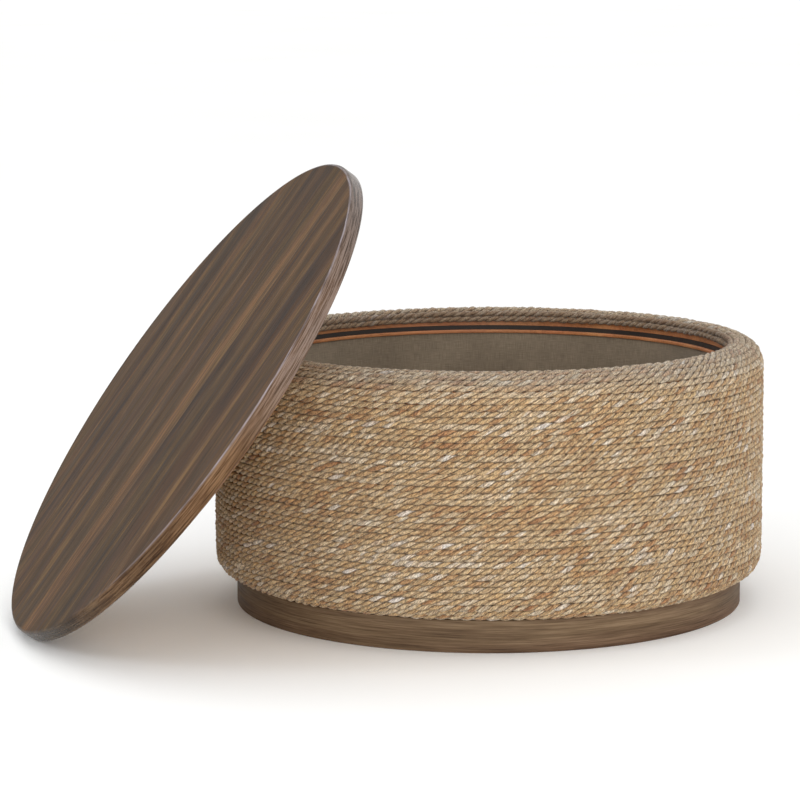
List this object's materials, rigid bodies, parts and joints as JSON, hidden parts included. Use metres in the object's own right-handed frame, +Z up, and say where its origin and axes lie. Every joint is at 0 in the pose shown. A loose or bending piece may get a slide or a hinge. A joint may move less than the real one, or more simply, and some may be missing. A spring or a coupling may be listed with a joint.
{
  "type": "storage ottoman",
  "caption": "Round storage ottoman: rope-wrapped drum on a low wooden plinth, fabric-lined inside, with a loose round wooden lid that leans on the rim or closes the mouth.",
  "frame": {"origin": "on the drum's axis, at the floor, on the underside of the plinth's cross brace", "axes": "+Z up along the drum's axis; the open lid leans to -X with its boards' grain in the XZ plane, and the drum's front is -Y"},
  "size_m": [1.1054, 0.8521, 0.6435],
  "materials": {
    "lid_wood": "matte walnut-brown stain, straight grain along the boards",
    "plinth_wood": "matte walnut-brown stain, fine horizontal grain",
    "rope": "natural twisted two-strand grass rope laid in level courses",
    "liner_fabric": "greige plain-weave linen-look cloth",
    "hoop_wood": "orange-brown bent strip, oiled",
    "plywood": "unfinished plywood",
    "frame_wood": "unfinished softwood",
    "steel": "zinc-plated steel"
  },
  "bodies": {
    "drum": {"plinth_ring": "plinth_wood", "plinth_brace_long": "frame_wood", "plinth_brace_back": "frame_wood", "plinth_brace_front": "frame_wood", "base_panel": "plywood", "lower_former": "plywood", "upright_1": "frame_wood", "upright_2": "frame_wood", "upright_3": "frame_wood", "upright_4": "frame_wood", "upright_5": "frame_wood", "upright_6": "frame_wood", "upright_7": "frame_wood", "upright_8": "frame_wood", "rim_ring": "frame_wood", "outer_skin": "plywood", "inner_skin": "plywood", "rope_wrap": "rope", "liner_wall": "liner_fabric", "liner_floor": "liner_fabric", "liner_hoop": "hoop_wood", "rim_screw_1": "steel", "rim_screw_2": "steel", "rim_screw_3": "steel", "rim_screw_4": "steel", "rim_screw_5": "steel", "rim_screw_6": "steel", "rim_screw_7": "steel", "rim_screw_8": "steel", "base_screw_1": "steel", "base_screw_2": "steel", "base_screw_3": "steel", "base_screw_4": "steel"},
    "lid_carrier": {"tie_rod": "steel"},
    "lid": {"lid_board_1": "lid_wood", "lid_board_2": "lid_wood", "lid_board_3": "lid_wood", "lid_board_4": "lid_wood", "lid_board_5": "lid_wood", "lid_board_6": "lid_wood", "lid_board_7": "lid_wood", "lid_board_8": "lid_wood", "locating_panel": "plywood", "lid_screw_1": "steel", "lid_screw_2": "steel", "lid_screw_3": "steel", "lid_screw_4": "steel", "lid_screw_5": "steel", "lid_screw_6": "steel", "lid_screw_7": "steel", "lid_screw_8": "steel"}
  },
  "joints": [
    {"name": "lid_swing", "type": "hinge", "parent": "drum", "child": "lid_carrier", "pos_m": [-0.23231, -0.0296, 0.35974], "axis": [-0.1264, 0.992, 0], "range_deg": [0, 180]},
    {"name": "lid_tilt", "type": "hinge", "parent": "lid_carrier", "child": "lid", "pos_m": [-0.46461, -0.0592, 0.32298], "axis": [0, 1, 0], "range_deg": [-126.51, 0]}
  ],
  "couplings": [
    {"joint": "lid_tilt", "follows": "lid_swing", "ratio": -0.70278}
  ]
}
